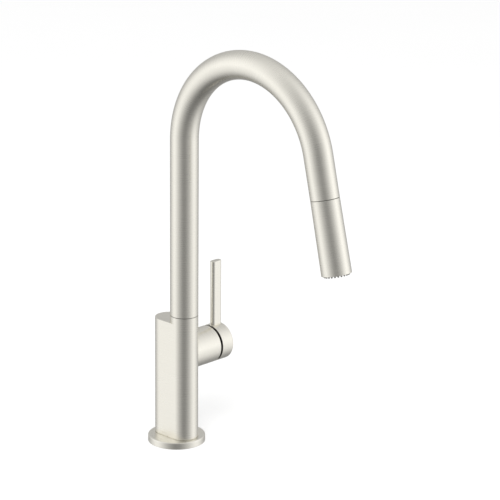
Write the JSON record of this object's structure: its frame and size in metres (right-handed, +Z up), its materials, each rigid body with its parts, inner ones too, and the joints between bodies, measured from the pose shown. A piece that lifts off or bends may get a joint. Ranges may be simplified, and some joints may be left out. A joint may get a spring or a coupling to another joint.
{
  "type": "pull down kitchen faucet",
  "caption": "Pull down kitchen faucet: flat-sided column on a round foot, side barrel with an upright lever, high gooseneck spout and a slim spray wand docked in its tip.",
  "frame": {"origin": "centre of the foot plate's underside, on the deck, on the mounting shank's axis", "axes": "+Z up out of the deck; the spout reaches towards -Y; the handle is on +X"},
  "size_m": [0.0944, 0.2613, 0.5044],
  "materials": {
    "brushed_nickel": "fine brushed, satin, warm nickel",
    "brass": "machined",
    "steel": "machined",
    "black_plastic": "moulded, satin",
    "grey_plastic": "moulded, matte",
    "rubber": "matte",
    "ceramic": null,
    "braided_hose": "braided nylon over rubber"
  },
  "bodies": {
    "root": {"faucet_body": "brushed_nickel", "base_flange": "brushed_nickel", "base_screws": "steel", "deck_gasket": "rubber", "mounting_shank": "brass", "rubber_washer": "rubber", "steel_washer": "steel", "mounting_nut": "brass", "jack_screws": "steel", "cartridge_housing": "black_plastic", "base_seal": "rubber", "fixed_disc": "ceramic", "retaining_nut": "brass", "glide_ring": "black_plastic", "upper_bushing": "black_plastic", "lower_bushing": "black_plastic", "thrust_washer": "black_plastic", "lower_hose": "braided_hose", "hose_coupling": "brass"},
    "spout": {"spout_tube": "brushed_nickel", "spout_spigot": "brass", "spigot_o_ring": "rubber", "spigot_clip": "steel", "docking_collar": "black_plastic", "dock_magnet": "steel", "upper_hose": "braided_hose"},
    "hose_end": {"hose_ferrule": "steel", "hose_nut": "brass"},
    "wand": {"wand_shell": "brushed_nickel", "docking_insert": "black_plastic", "wand_magnet": "steel", "inlet_o_ring": "rubber", "check_valve": "black_plastic", "waterway_core": "grey_plastic", "spray_holder": "black_plastic", "nozzle_membrane": "rubber", "spray_face": "brushed_nickel", "aerator_case": "black_plastic", "aerator_screen": "steel"},
    "button": {"spray_button": "brushed_nickel", "diverter_spool": "steel"},
    "rotor": {"stem_rotor": "grey_plastic", "stem_pin": "steel"},
    "disc": {"moving_disc": "ceramic"},
    "handle": {"valve_stem": "steel", "handle_cap": "brushed_nickel", "handle_lever": "brushed_nickel", "handle_set_screw": "steel", "set_screw_plug": "brushed_nickel"}
  },
  "joints": [
    {"name": "spout_swivel", "type": "hinge", "parent": "root", "child": "spout", "pos_m": [0, -0.0108, 0.1375], "axis": [0, 0, 1], "range_deg": [-180, 180]},
    {"name": "wand_pull", "type": "slide", "parent": "spout", "child": "hose_end", "axis": [0, -0.2267, -0.974], "range_m": [0, 0.2], "deforming": ["upper_hose"]},
    {"name": "wand_swivel", "type": "hinge", "parent": "hose_end", "child": "wand", "pos_m": [0, -0.20102, 0.30084], "axis": [0, -0.2267, -0.974], "continuous": true},
    {"name": "button_press", "type": "slide", "parent": "wand", "child": "button", "axis": [0, -0.974, 0.2267], "range_m": [0, 0.0015], "stiffness_N_per_m": 1000, "springref_m": -0.001},
    {"name": "handle_temperature", "type": "hinge", "parent": "root", "child": "rotor", "pos_m": [0, 0.002, 0.0918], "axis": [1, 0, 0], "range_deg": [-45, 45]},
    {"name": "handle_flow", "type": "hinge", "parent": "rotor", "child": "handle", "pos_m": [0.0295, 0.002, 0.0918], "axis": [0, 1, 0], "range_deg": [0, 18]},
    {"name": "disc_slide", "type": "slide", "parent": "rotor", "child": "disc", "axis": [0, 0, 1], "range_m": [0, 0.0034]}
  ],
  "couplings": [
    {"joint": "disc_slide", "follows": "handle_flow", "m_per_rad": 0.010275}
  ]
}
